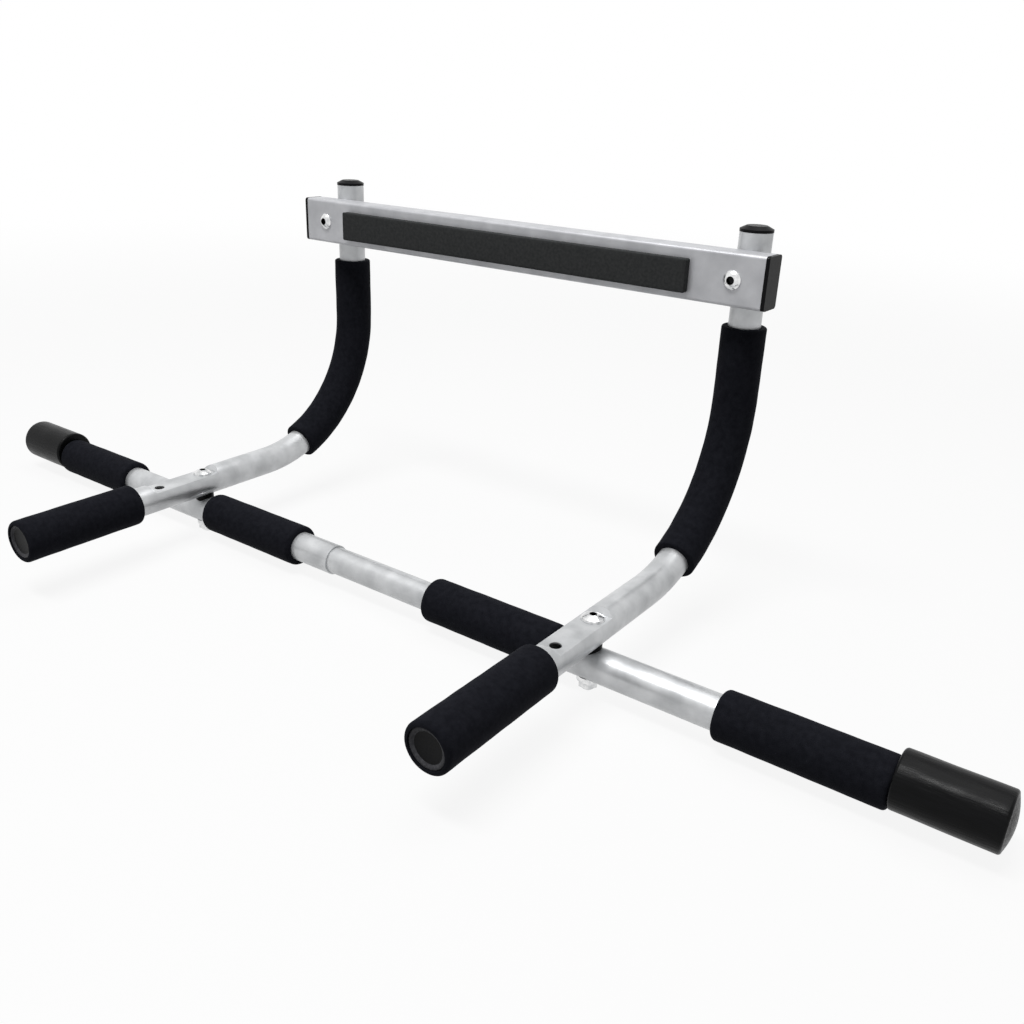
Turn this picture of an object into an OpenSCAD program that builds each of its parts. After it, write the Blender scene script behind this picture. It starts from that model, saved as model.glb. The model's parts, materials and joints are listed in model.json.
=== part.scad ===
// Doorway pull up bar with several grips: a long crossbar, two bent arm tubes
// that end in handles, and a padded top rail that hooks over the door trim.
// Millimetres. X runs along the crossbar, -Y points at the user, +Z is up.
// The origin is the middle of the top rail's underside, which rests on the trim.

/* [Frame] */
// Distance between the two arm tubes, centre to centre
arm_spacing = 418; // [390:1:430]
// How far the arms' upright runs stand behind the crossbar axis
reach = 198; // [188:0.5:230]
// Height of the top rail's underside above the crossbar axis
rail_rise = 224.5; // [205:0.5:250]
// Bend radius of the arm tubes, on their centre line
bend_radius = 125; // [110:1:140]
// Length of arm tube that stands above the top rail
arm_above_rail = 12; // [8:0.5:30]
// Distance from the crossbar axis to the handle ends
handle_reach = 175; // [150:1:200]

/* [Tubes] */
// Outer diameter of the arm tubes and of the crossbar's side tubes
tube_d = 25; // [24:0.1:26]
// Wall of every round tube
tube_wall = 1.2; // [1:0.1:1.6]
// Radial clearance of the centre tube and the plugs in the tubes that hold them
tube_fit = 0.1; // [0.05:0.05:0.2]

/* [Crossbar] */
// Overall length of the crossbar over its end sleeves
bar_length = 970; // [920:1:1080]
// Distance from the middle to the left side tube's inner end
left_tube_start = 40; // [20:1:60]
// Distance from the middle to the right side tube's inner end, hidden by the grip
right_tube_start = 80; // [76:1:100]
// How far the centre tube runs past each crossing bolt
centre_tube_past_bolt = 22; // [12:1:40]
// Gap between the crossing tubes, filled by the saddle
cross_gap = 1.5; // [1:0.1:4]
// Diameter of the saddle between the crossing tubes
saddle_d = 16; // [14:0.5:22]

/* [Grips] */
// Outer diameter of the foam grips
grip_d = 34.5; // [34:0.5:38]
// Rounding of the straight grips' outer edges
grip_edge = 3.5; // [1:0.5:4]
// Rounding of the arm grips' outer edges
arm_grip_edge = 1.5; // [1:0.5:4]
// Radial clearance between foam and tube
grip_fit = 0.1; // [0.05:0.05:0.3]
// Distance from the middle to the left inner grip
left_inner_grip_start = 81; // [65:1:95]
// Distance from the middle to the right inner grip
right_inner_grip_start = 66.5; // [60:0.5:72]
// Bare tube between the left inner grip and the left arm tube's axis
left_inner_grip_gap = 15; // [14:1:35]
// Bare tube between the right inner grip and the right arm tube's axis
right_inner_grip_gap = 28; // [14:1:35]
// Bare tube between the left arm tube's axis and the left outer grip
left_outer_grip_gap = 106; // [60:1:120]
// Bare tube between the right arm tube's axis and the right outer grip
right_outer_grip_gap = 99.5; // [60:0.5:120]
// Bare tube between the left spare hole and the left handle grip
left_handle_grip_gap = 26.5; // [12:0.5:40]
// Bare tube between the right spare hole and the right handle grip
right_handle_grip_gap = 19.5; // [12:0.5:40]
// Angle into the bend at which the arm grips start
arm_grip_angle = 21; // [5:0.5:45]
// Bare tube between the arm grips and the top rail's underside
arm_grip_gap = 19.5; // [5:0.5:26]

/* [End sleeves] */
// Outer diameter of the rubber end sleeves
sleeve_d = 38; // [37:0.5:44]
// Length of the end sleeves
sleeve_length = 65; // [50:1:80]
// How far the sleeve's outside is raised above its bore
sleeve_rise = 4.5; // [0:0.5:5]
// Thickness of the sleeve's closed end at its rim
sleeve_end_wall = 4; // [2:0.5:8]
// How far the closed end bulges out past its rim
sleeve_dome = 3; // [1:0.5:6]
// Rounding of the sleeve's edges
sleeve_edge = 2; // [0.5:0.5:3]

/* [Top rail] */
// How far the top rail runs past each arm tube's axis, without its end cap
rail_overhang = 24; // [20:0.5:34]
// Height of the rail's section
rail_h = 39; // [36:1:45]
// Depth of the rail's section
rail_d = 21.5; // [19:0.5:30]
// Wall of the rail
rail_wall = 1.5; // [1.2:0.1:2]
// Outer corner radius of the rail's section
rail_corner = 2.5; // [2.2:0.1:4]
// Thickness of the end caps' flange
rail_cap_t = 3; // [2:0.5:5]
// How far the end caps reach into the rail
rail_cap_plug = 12; // [6:1:14]
// Clearance of the end caps in the rail
rail_cap_fit = 0.15; // [0.05:0.05:0.3]
// Bare rail between the pad's ends and the arm tubes' axes, with the pad centred
pad_margin = 31.5; // [20:0.5:60]
// How far the pad sits to the left of the rail's middle
pad_shift = 3.5; // [0:0.5:5]
// Height of the pad
pad_h = 25; // [18:0.5:30]
// How far the pad's middle lies below the rail's middle
pad_drop = 1.2; // [0:0.1:3]
// How far the pad stands out of the rail
pad_t = 6.5; // [4:0.5:10]
// Corner radius of the pad
pad_corner = 1.5; // [0.5:0.5:3]

/* [Plugs and caps] */
// Diameter of the handle plugs' flange
plug_flange_d = 27.5; // [26.5:0.1:28]
// Thickness of the handle plugs' flange
plug_flange_t = 3; // [2:0.5:4]
// Depth of the dish in the handle plugs
plug_dish = 1.5; // [0.5:0.1:1.8]
// Width of the flat rim around the dish
plug_rim = 1.5; // [1:0.1:3]
// How far the handle grip reaches past its plug
plug_recess = 1; // [0:0.5:3]
// How far plugs and caps reach into the round tubes
plug_depth = 12; // [6:1:20]
// How far the arm caps' rim stands out of the tube
arm_cap_lip = 0.2; // [0.2:0.1:1.5]
// Thickness of the arm caps' rim
arm_cap_rim = 2.1; // [1:0.1:3]
// Height of the arm caps' raised top
arm_cap_crown = 2.4; // [1:0.1:3]

/* [Fasteners] */
// Diameter of the bolts
bolt_d = 8; // [6:0.5:8]
// Radial clearance of the bolts in the holes of tubes and rail
hole_fit = 0.25; // [0.1:0.05:0.5]
// Radial clearance of the bolts in their nuts
thread_fit = 0.05; // [0.02:0.01:0.1]
// Diameter of the crossing bolts' heads
head_d = 15.5; // [14:0.5:17]
// Thickness of the crossing bolts' heads
head_t = 3.2; // [2.8:0.1:4]
// Depth of the hex socket in the crossing bolts' heads
socket_depth = 2.4; // [1:0.1:2.6]
// Diameter of the rail bolts' heads
rail_head_d = 14; // [13:0.5:16]
// Thickness of the rail bolts' heads
rail_head_t = 4; // [3:0.5:4]
// Depth of the hex socket in the rail bolts' heads
rail_socket_depth = 2.6; // [1:0.1:2.8]
// Width across flats of the hex socket in all bolt heads
socket_af = 5; // [4:0.5:6]
// Width across flats of the cap nuts
nut_af = 13; // [12:0.5:14]
// Height of the cap nuts' hexagon
nut_t = 5; // [4:0.5:7]
// Height of the cap nuts' dome above the hexagon
nut_dome = 4; // [2.5:0.5:6]
// Diameter of the washers
washer_d = 17; // [16:0.5:20]
// Thickness of the washers
washer_t = 1; // [0.6:0.1:2]
// Distance from the crossing bolt to the spare hole for a thinner wall
hole_pitch = 46; // [30:1:50]
// Depth of the flat that is pressed into the arm tubes around both holes
flat_depth = 5; // [4:0.5:6]
// How far the pressed flat runs past the washer's edge
flat_margin = 0.5; // [0.2:0.1:3]
// Length of the ramp at each end of the pressed flat
flat_ramp = 3; // [2:0.5:6]

/* [Hidden] */
$fn = 64;

silver = "silver";
zinc = "gainsboro";
foam_black = "#1b1c20";
rubber_black = "#2a2a2d";
pad_grey = "#33353a";
plastic_black = "#161618";

// A cut runs this far past the face that it opens
past = 1;
tube_r = tube_d / 2;
tube_bore_r = tube_r - tube_wall;
centre_tube_r = tube_bore_r - tube_fit;
grip_r = grip_d / 2;
grip_bore_r = tube_r + grip_fit;
bolt_r = bolt_d / 2;
hole_r = bolt_r + hole_fit;

// Places of the main lines in the part's frame
arm_x = arm_spacing / 2;
arm_y = (rail_d + tube_d) / 2;
arm_top_z = rail_h + arm_above_rail;
bar_y = arm_y - reach;
bar_z = -rail_rise;
arm_z = bar_z + tube_d + cross_gap;
handle_y = bar_y - handle_reach;
spare_hole_y = bar_y - hole_pitch;
bend_y = arm_y - bend_radius;
bend_z = arm_z + bend_radius;
rail_front_y = -rail_d / 2;
rail_mid_z = rail_h / 2;
rail_length = arm_spacing + 2 * rail_overhang;
pad_length = arm_spacing - 2 * pad_margin;
sleeve_start = bar_length / 2 - sleeve_length;
sleeve_rim = bar_length / 2 - sleeve_dome;
bar_tube_end = sleeve_rim - sleeve_end_wall;
handle_tube_y = handle_y + plug_recess + plug_flange_t;
flat_z = arm_z + tube_r - flat_depth;
flat_back_y = bar_y + washer_d / 2 + flat_margin;
flat_front_y = spare_hole_y - washer_d / 2 - flat_margin;
plug_seat_fit = 0.1;
// How far an arm cap's crown leans in for each millimetre that it rises
arm_cap_lean = 2;
// Flat ring on a cap nut's hexagon around the dome
nut_shoulder = 0.5;
// Flat ring on a sleeve's closed end around the dome
sleeve_shoulder = 0.5;
// Height of the straight edge under the dome of a bolt's head
head_rim = 0.8;
// Length of the straight bit at each end of an arm grip
grip_end_length = 2 * arm_grip_edge;
// The arm grip's lower end is this much slimmer and starts this far inside the bend
low_end_inset = 0.05;
low_end_overlap = 1;
// Share of the tube's fall under a saddle's rim that the saddle reaches down
saddle_grasp = 0.8;

// ---------- shared shapes ----------

// Turns a shape drawn along +Z so that it runs along +X, with its own X along Y
module along_x() {
    rotate([90, 0, 90]) children();
}

// Turns a shape drawn along +Z so that it runs along -Y
module along_minus_y() {
    rotate([90, 0, 0]) children();
}

// A rectangle with true round corners, centred on the origin
module round_rect(width, height, corner) {
    square([width - 2 * corner, height], center = true);
    square([width, height - 2 * corner], center = true);
    for (x = [-1, 1], y = [-1, 1])
        translate([x * (width / 2 - corner), y * (height / 2 - corner)]) circle(r = corner);
}

// A straight rod on the crossbar's axis, from one x to another
module bar_rod(from_x, to_x, radius) {
    translate([from_x, bar_y, bar_z]) along_x() cylinder(r = radius, h = to_x - from_x);
}

// A rod along +Z with both outer edges rounded
module rounded_rod(radius, length, edge) {
    rotate_extrude() {
        square([radius - edge, length]);
        translate([0, edge]) square([radius, length - 2 * edge]);
        for (z = [edge, length - edge]) translate([radius - edge, z]) circle(r = edge);
    }
}

// A rod along +Z whose outer edge is rounded at z = 0 only
module rounded_end(radius, length, edge) {
    rotate_extrude() {
        square([radius - edge, length]);
        translate([0, edge]) square([radius, length - edge]);
        translate([radius - edge, edge]) circle(r = edge);
    }
}

// A shallow dome that stands on z = 0
module dome(base_r, height) {
    dome_r = (pow(base_r, 2) + pow(height, 2)) / (2 * height);
    intersection() {
        translate([0, 0, height - dome_r]) sphere(r = dome_r);
        cylinder(r = base_r, h = height + past);
    }
}

// A straight foam grip along +Z, with both outer edges rounded
module straight_grip(length) {
    difference() {
        rounded_rod(grip_r, length, grip_edge);
        translate([0, 0, -past]) cylinder(r = grip_bore_r, h = length + 2 * past);
    }
}

// A round bar that follows the arm's bend down from the upright, in the plane x = 0
module bend(radius, turn) {
    translate([0, bend_y, bend_z]) along_x() mirror([0, 1, 0])
        rotate_extrude(angle = turn) translate([bend_radius, 0]) circle(r = radius);
}

// The arm's whole line as a round bar: handle, bend and upright
module arm_line(radius, from_y, to_z) {
    translate([0, bend_y, arm_z]) along_minus_y() cylinder(r = radius, h = bend_y - from_y);
    bend(radius, 90);
    translate([0, arm_y, bend_z]) cylinder(r = radius, h = to_z - bend_z);
}

// ---------- crossbar ----------

module crossing_hole(x) {
    translate([x, bar_y, bar_z - tube_d]) cylinder(r = hole_r, h = 2 * tube_d);
}

module side_tube(start) {
    difference() {
        bar_rod(start, bar_tube_end, tube_r);
        bar_rod(start - past, bar_tube_end + past, tube_bore_r);
        crossing_hole(arm_x);
    }
}

module left_side_tube() {
    color(silver) mirror([1, 0, 0]) side_tube(left_tube_start);
}

module right_side_tube() {
    color(silver) side_tube(right_tube_start);
}

module centre_tube() {
    end_x = arm_x + centre_tube_past_bolt;
    color(silver) difference() {
        bar_rod(-end_x, end_x, centre_tube_r);
        bar_rod(-end_x - past, end_x + past, centre_tube_r - tube_wall);
        crossing_hole(-arm_x);
        crossing_hole(arm_x);
    }
}

// Closed rubber sleeve whose round outside sits higher than its bore
module end_sleeve() {
    dome_base_r = sleeve_d / 2 - sleeve_edge - sleeve_shoulder;
    color(rubber_black) difference() {
        translate([0, bar_y, bar_z + sleeve_rise]) {
            translate([sleeve_start, 0, 0]) along_x()
                rounded_rod(sleeve_d / 2, sleeve_rim - sleeve_start, sleeve_edge);
            translate([sleeve_rim, 0, 0]) along_x() dome(dome_base_r, sleeve_dome);
        }
        bar_rod(sleeve_start - past, bar_tube_end, grip_bore_r);
    }
}

module left_end_sleeve() {
    mirror([1, 0, 0]) end_sleeve();
}

module right_end_sleeve() {
    end_sleeve();
}

module bar_grip(from_x, to_x) {
    color(foam_black) translate([from_x, bar_y, bar_z]) along_x() straight_grip(to_x - from_x);
}

module left_outer_grip() {
    mirror([1, 0, 0]) bar_grip(arm_x + left_outer_grip_gap, sleeve_start);
}

module right_outer_grip() {
    bar_grip(arm_x + right_outer_grip_gap, sleeve_start);
}

module left_inner_grip() {
    mirror([1, 0, 0]) bar_grip(left_inner_grip_start, arm_x - left_inner_grip_gap);
}

module right_inner_grip() {
    bar_grip(right_inner_grip_start, arm_x - right_inner_grip_gap);
}

// ---------- arms ----------

// The space over the pressed flat, with a ramp at each end, made larger by a wall
module over_flat(wall) {
    rise = tube_d;
    ramp_angle = atan(flat_depth / flat_ramp);
    shift = wall * tan(ramp_angle / 2);
    run = (rise + wall) * flat_ramp / flat_depth;
    translate([-tube_d, 0, flat_z]) along_x() linear_extrude(2 * tube_d) polygon([
        [flat_front_y - shift, -wall],
        [flat_back_y + shift, -wall],
        [flat_back_y + shift + run, rise],
        [flat_front_y - shift - run, rise]
    ]);
}

module arm_tube() {
    color(silver) translate([arm_x, 0, 0]) difference() {
        arm_line(tube_r, handle_tube_y, arm_top_z);
        over_flat(0);
        difference() {
            arm_line(tube_bore_r, handle_tube_y - past, arm_top_z + past);
            over_flat(tube_wall);
        }
        for (y = [bar_y, spare_hole_y])
            translate([0, y, arm_z - tube_d]) cylinder(r = hole_r, h = 2 * tube_d);
        translate([0, arm_y + tube_d, rail_mid_z]) along_minus_y() cylinder(r = hole_r, h = 2 * tube_d);
    }
}

module left_arm_tube() {
    mirror([1, 0, 0]) arm_tube();
}

module right_arm_tube() {
    arm_tube();
}

// Foam that follows the bend and then the upright
module arm_grip() {
    bend_turn = 90 - arm_grip_angle - grip_end_length / bend_radius * 180 / PI;
    top_z = -arm_grip_gap - grip_end_length;
    low_end_r = grip_r - low_end_inset;
    color(foam_black) translate([arm_x, 0, 0]) difference() {
        union() {
            bend(grip_r, bend_turn);
            translate([0, arm_y, bend_z]) cylinder(r = grip_r, h = top_z - bend_z);
            translate([0, arm_y, -arm_grip_gap]) mirror([0, 0, 1])
                rounded_end(grip_r, grip_end_length, arm_grip_edge);
            translate([0, bend_y, bend_z]) rotate([90 - bend_turn, 0, 0])
                translate([0, -grip_end_length, -bend_radius]) rotate([-90, 0, 0])
                    rounded_end(low_end_r, grip_end_length + low_end_overlap, arm_grip_edge);
        }
        bend(grip_bore_r, 90);
        translate([0, arm_y, bend_z]) cylinder(r = grip_bore_r, h = arm_top_z - bend_z);
    }
}

module left_arm_grip() {
    mirror([1, 0, 0]) arm_grip();
}

module right_arm_grip() {
    arm_grip();
}

// Handle grip that ends a gap before the spare hole, with a seat for the plug
module handle_grip(gap) {
    seat_depth = handle_tube_y - handle_y;
    grip_length = handle_reach - hole_pitch - gap;
    color(foam_black) translate([arm_x, handle_y, arm_z]) rotate([-90, 0, 0]) difference() {
        straight_grip(grip_length);
        translate([0, 0, -past])
            cylinder(r = plug_flange_d / 2 + plug_seat_fit, h = seat_depth + past);
    }
}

module left_handle_grip() {
    mirror([1, 0, 0]) handle_grip(left_handle_grip_gap);
}

module right_handle_grip() {
    handle_grip(right_handle_grip_gap);
}

// Dished plug that closes the handle's tube
module handle_plug() {
    flange_r = plug_flange_d / 2;
    dish_r = (pow(flange_r - plug_rim, 2) + pow(plug_dish, 2)) / (2 * plug_dish);
    color(plastic_black) translate([arm_x, handle_tube_y, arm_z]) along_minus_y() difference() {
        union() {
            cylinder(r = flange_r, h = plug_flange_t);
            translate([0, 0, -plug_depth]) cylinder(r = centre_tube_r, h = plug_depth);
        }
        translate([0, 0, plug_flange_t - plug_dish + dish_r]) sphere(r = dish_r);
    }
}

module left_handle_plug() {
    mirror([1, 0, 0]) handle_plug();
}

module right_handle_plug() {
    handle_plug();
}

// Cap with a rim and a sloping crown that closes the arm's top end
module arm_cap() {
    rim_r = tube_r + arm_cap_lip;
    color(plastic_black) translate([arm_x, arm_y, arm_top_z]) {
        translate([0, 0, -plug_depth]) cylinder(r = centre_tube_r, h = plug_depth);
        cylinder(r = rim_r, h = arm_cap_rim);
        translate([0, 0, arm_cap_rim])
            cylinder(r1 = rim_r, r2 = rim_r - arm_cap_lean * arm_cap_crown, h = arm_cap_crown);
    }
}

module left_arm_cap() {
    mirror([1, 0, 0]) arm_cap();
}

module right_arm_cap() {
    arm_cap();
}

// Saddle that keeps an arm tube and the crossbar square to each other
module cross_saddle() {
    rim = saddle_d / 2;
    drop = saddle_grasp * (tube_r - sqrt(pow(tube_r, 2) - pow(rim, 2)));
    color(plastic_black) difference() {
        translate([arm_x, bar_y, bar_z + tube_r - drop])
            cylinder(r = rim, h = cross_gap + 2 * drop);
        bar_rod(arm_x - saddle_d, arm_x + saddle_d, tube_r);
        translate([arm_x, bar_y + saddle_d, arm_z]) along_minus_y()
            cylinder(r = tube_r, h = 2 * saddle_d);
        crossing_hole(arm_x);
    }
}

module left_cross_saddle() {
    mirror([1, 0, 0]) cross_saddle();
}

module right_cross_saddle() {
    cross_saddle();
}

// ---------- top rail ----------

module top_rail() {
    color(silver) difference() {
        translate([-rail_length / 2, 0, rail_mid_z]) along_x()
            linear_extrude(rail_length) round_rect(rail_d, rail_h, rail_corner);
        translate([-rail_length / 2 - past, 0, rail_mid_z]) along_x()
            linear_extrude(rail_length + 2 * past)
                round_rect(rail_d - 2 * rail_wall, rail_h - 2 * rail_wall, rail_corner - rail_wall);
        for (x = [-arm_x, arm_x])
            translate([x, rail_d, rail_mid_z]) along_minus_y() cylinder(r = hole_r, h = 2 * rail_d);
    }
}

// Rubber strip that lies against the wall above the door
module wall_pad() {
    color(pad_grey) translate([-pad_shift, rail_front_y, rail_mid_z - pad_drop]) along_minus_y()
        linear_extrude(pad_t) round_rect(pad_length, pad_h, pad_corner);
}

module rail_cap() {
    inside = rail_wall + rail_cap_fit;
    color(plastic_black) translate([rail_length / 2, 0, rail_mid_z]) along_x() {
        linear_extrude(rail_cap_t) round_rect(rail_d, rail_h, rail_corner);
        translate([0, 0, -rail_cap_plug]) linear_extrude(rail_cap_plug)
            round_rect(rail_d - 2 * inside, rail_h - 2 * inside, rail_corner - rail_wall);
    }
}

module left_rail_cap() {
    mirror([1, 0, 0]) rail_cap();
}

module right_rail_cap() {
    rail_cap();
}

// ---------- fasteners ----------

// Bolt with a low domed head and a hex socket, its head's underside at z = 0, its shank down
module bolt(shank, head_r, thickness, socket) {
    difference() {
        union() {
            cylinder(r = head_r, h = head_rim);
            translate([0, 0, head_rim]) dome(head_r, thickness - head_rim);
            translate([0, 0, -shank]) cylinder(r = bolt_r, h = shank);
        }
        translate([0, 0, thickness - socket])
            cylinder(r = socket_af / 2 / cos(30), h = socket + past, $fn = 6);
    }
}

// Cap nut, its seat at z = 0 and its dome up, with a blind hole for the bolt
module cap_nut() {
    difference() {
        union() {
            cylinder(r = nut_af / 2 / cos(30), h = nut_t, $fn = 6);
            translate([0, 0, nut_t]) dome(nut_af / 2 - nut_shoulder, nut_dome);
        }
        translate([0, 0, -past]) cylinder(r = bolt_r + thread_fit, h = nut_t + past);
    }
}

// Washer with a flat face up at z = washer_t and a hollow that fits a tube along X
module saddle_washer() {
    rim = washer_d / 2;
    drop = saddle_grasp * (tube_r - sqrt(pow(tube_r, 2) - pow(rim, 2)));
    difference() {
        translate([0, 0, -drop]) cylinder(r = rim, h = drop + washer_t);
        translate([-washer_d, 0, -tube_r]) along_x() cylinder(r = tube_r, h = 2 * washer_d);
        translate([0, 0, -washer_d]) cylinder(r = hole_r, h = 2 * washer_d);
    }
}

// How far a bolt's end stays short of the bottom of its nut's hole
bolt_end_gap = 0.5;

module crossing_bolts() {
    seat_z = flat_z + washer_t;
    nut_z = bar_z - tube_r - washer_t;
    shank = seat_z - nut_z + nut_t - bolt_end_gap;
    for (x = [-arm_x, arm_x])
        color(zinc) translate([x, bar_y, seat_z]) bolt(shank, head_d / 2, head_t, socket_depth);
}

// A flat washer on each pressed flat and a hollow one under the crossbar
module crossing_washers() {
    for (x = [-arm_x, arm_x]) color(zinc) {
        translate([x, bar_y, flat_z]) difference() {
            cylinder(r = washer_d / 2, h = washer_t);
            translate([0, 0, -past]) cylinder(r = hole_r, h = washer_t + 2 * past);
        }
        translate([x, bar_y, bar_z - tube_r]) rotate([180, 0, 0]) saddle_washer();
    }
}

module crossing_nuts() {
    for (x = [-arm_x, arm_x])
        color(zinc) translate([x, bar_y, bar_z - tube_r - washer_t]) rotate([180, 0, 0]) cap_nut();
}

// Bolts from the rail's front through both its walls and the arm tube
module rail_bolts() {
    nut_y = arm_y + tube_r + washer_t;
    shank = nut_y - rail_front_y + nut_t - bolt_end_gap;
    for (x = [-arm_x, arm_x])
        color(zinc) translate([x, rail_front_y, rail_mid_z]) along_minus_y()
            bolt(shank, rail_head_d / 2, rail_head_t, rail_socket_depth);
}

module rail_washers() {
    for (x = [-arm_x, arm_x])
        color(zinc) translate([x, arm_y + tube_r, rail_mid_z]) rotate([-90, 0, 0])
            rotate([0, 0, 90]) saddle_washer();
}

module rail_nuts() {
    for (x = [-arm_x, arm_x])
        color(zinc) translate([x, arm_y + tube_r + washer_t, rail_mid_z]) rotate([-90, 0, 0]) cap_nut();
}

left_side_tube();
right_side_tube();
centre_tube();
left_end_sleeve();
right_end_sleeve();
left_outer_grip();
right_outer_grip();
left_inner_grip();
right_inner_grip();
left_arm_tube();
right_arm_tube();
left_arm_grip();
right_arm_grip();
left_handle_grip();
right_handle_grip();
left_handle_plug();
right_handle_plug();
left_arm_cap();
right_arm_cap();
left_cross_saddle();
right_cross_saddle();
top_rail();
wall_pad();
left_rail_cap();
right_rail_cap();
crossing_bolts();
crossing_washers();
crossing_nuts();
rail_bolts();
rail_washers();
rail_nuts();
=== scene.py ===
# %% [markdown]
# A doorway pull up bar: two bent steel arms hang from a box section top rail, and a long
# crossbar is bolted under them. Foam and rubber cover every place that a hand or a door
# frame touches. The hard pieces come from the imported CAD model, which gives every size and
# place in metres. This script adds what CAD leaves plain: foam, rubber and finishes.

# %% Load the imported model
import json
import math

import bmesh
import bpy
from mathutils import Matrix, Vector, noise


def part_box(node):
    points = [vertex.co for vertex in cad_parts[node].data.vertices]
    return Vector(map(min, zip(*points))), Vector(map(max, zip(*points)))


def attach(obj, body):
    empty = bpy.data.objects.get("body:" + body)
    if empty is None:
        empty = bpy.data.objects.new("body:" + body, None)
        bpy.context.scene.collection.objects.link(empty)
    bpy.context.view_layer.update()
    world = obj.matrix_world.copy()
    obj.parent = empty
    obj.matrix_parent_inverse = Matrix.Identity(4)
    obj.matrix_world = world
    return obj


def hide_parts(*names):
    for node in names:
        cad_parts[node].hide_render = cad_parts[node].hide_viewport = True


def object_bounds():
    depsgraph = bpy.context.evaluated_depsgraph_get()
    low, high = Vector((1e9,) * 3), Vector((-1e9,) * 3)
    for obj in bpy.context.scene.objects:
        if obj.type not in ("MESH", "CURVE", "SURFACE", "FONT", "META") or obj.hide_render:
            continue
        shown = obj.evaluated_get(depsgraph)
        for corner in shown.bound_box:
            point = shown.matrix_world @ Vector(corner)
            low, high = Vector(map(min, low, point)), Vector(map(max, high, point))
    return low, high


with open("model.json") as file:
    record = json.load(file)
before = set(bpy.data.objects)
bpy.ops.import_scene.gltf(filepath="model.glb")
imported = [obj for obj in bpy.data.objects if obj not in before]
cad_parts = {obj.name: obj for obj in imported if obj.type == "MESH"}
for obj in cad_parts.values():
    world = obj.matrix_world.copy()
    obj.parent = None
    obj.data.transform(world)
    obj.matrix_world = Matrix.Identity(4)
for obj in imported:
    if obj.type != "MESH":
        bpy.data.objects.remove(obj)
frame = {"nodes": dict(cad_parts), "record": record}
cad_box = [list(corner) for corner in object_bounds()]
print("nodes:", len(frame["nodes"]))
print("CAD box:", cad_box)

# %% [markdown]
# The camera comes first, because every later choice is judged through it. It stands in
# front of the bar, to its right and a little above it, and leans by a few degrees. Turning
# about Z, then tilting about X, then rolling about the view line gives the same result as
# setting the three values by hand, and keeps each angle readable.

# %% Camera
camera_place = Vector((0.5045, -0.69285, 0.1401))
camera_turn = math.radians(35.31)
camera_dip = math.radians(23.12)
camera_roll = math.radians(2.27)
lens_mm = 34.65
sensor_mm = 36.0

camera_data = bpy.data.cameras.new("studio_camera")
camera_data.sensor_width = sensor_mm
camera_data.lens = lens_mm
camera = bpy.data.objects.new("studio_camera", camera_data)
bpy.context.scene.collection.objects.link(camera)
turn = Matrix.Rotation(camera_turn, 4, "Z")
tilt = Matrix.Rotation(math.pi / 2 - camera_dip, 4, "X")
roll = Matrix.Rotation(camera_roll, 4, "Z")
camera.matrix_world = Matrix.Translation(camera_place) @ turn @ tilt @ roll
bpy.context.scene.camera = camera
print("camera at", tuple(round(c, 3) for c in camera_place), "lens", lens_mm, "mm")

# %% [markdown]
# A finish is a small network of nodes. Most of them start the same way: one Principled
# shader, and noise patterns that read Object coordinates, so that the grain keeps its real
# size in metres on every piece. A few helpers keep the recipes short: they make the
# material, add a noise pattern, turn it into a range of colours or numbers, plug that range
# into the shader, and add relief.

# %% Helpers for finishes
def new_finish(name, metallic=0.0, specular=0.5, roughness=0.5):
    """A material with one Principled shader. Returns the material and the shader."""
    material = bpy.data.materials.new(name)
    material.use_nodes = True
    shader = material.node_tree.nodes["Principled BSDF"]
    shader.inputs["Roughness"].default_value = roughness
    shader.inputs["Metallic"].default_value = metallic
    shader.inputs["Specular IOR Level"].default_value = specular
    return material, shader


def noise_pattern(material, cells_per_metre, detail=2.0, stretch=(1, 1, 1)):
    """A noise texture on Object coordinates. stretch above 1 packs it along that axis."""
    nodes, links = material.node_tree.nodes, material.node_tree.links
    where = nodes.new("ShaderNodeTexCoord")
    mapping = nodes.new("ShaderNodeMapping")
    mapping.inputs["Scale"].default_value = stretch
    pattern = nodes.new("ShaderNodeTexNoise")
    pattern.inputs["Scale"].default_value = cells_per_metre
    pattern.inputs["Detail"].default_value = detail
    links.new(where.outputs["Object"], mapping.inputs["Vector"])
    links.new(mapping.outputs["Vector"], pattern.inputs["Vector"])
    return pattern.outputs["Fac"]


def spread(material, pattern, low, high, start=0.3, end=0.7):
    """Maps a 0 to 1 pattern onto the range from low to high: colours or plain numbers."""
    nodes, links = material.node_tree.nodes, material.node_tree.links
    if isinstance(low, tuple):
        ramp = nodes.new("ShaderNodeValToRGB")
        ramp.color_ramp.elements[0].position = start
        ramp.color_ramp.elements[1].position = end
        ramp.color_ramp.elements[0].color = (*low, 1.0)
        ramp.color_ramp.elements[1].color = (*high, 1.0)
        links.new(pattern, ramp.inputs["Fac"])
        return ramp.outputs["Color"]
    scale = nodes.new("ShaderNodeMapRange")
    scale.inputs["From Min"].default_value = start
    scale.inputs["From Max"].default_value = end
    scale.inputs["To Min"].default_value = low
    scale.inputs["To Max"].default_value = high
    links.new(pattern, scale.inputs["Value"])
    return scale.outputs["Result"]


def vary(material, shader, socket, pattern, low, high):
    """Lets a pattern drive one of the shader's sockets, from low to high."""
    material.node_tree.links.new(spread(material, pattern, low, high), shader.inputs[socket])


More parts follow.
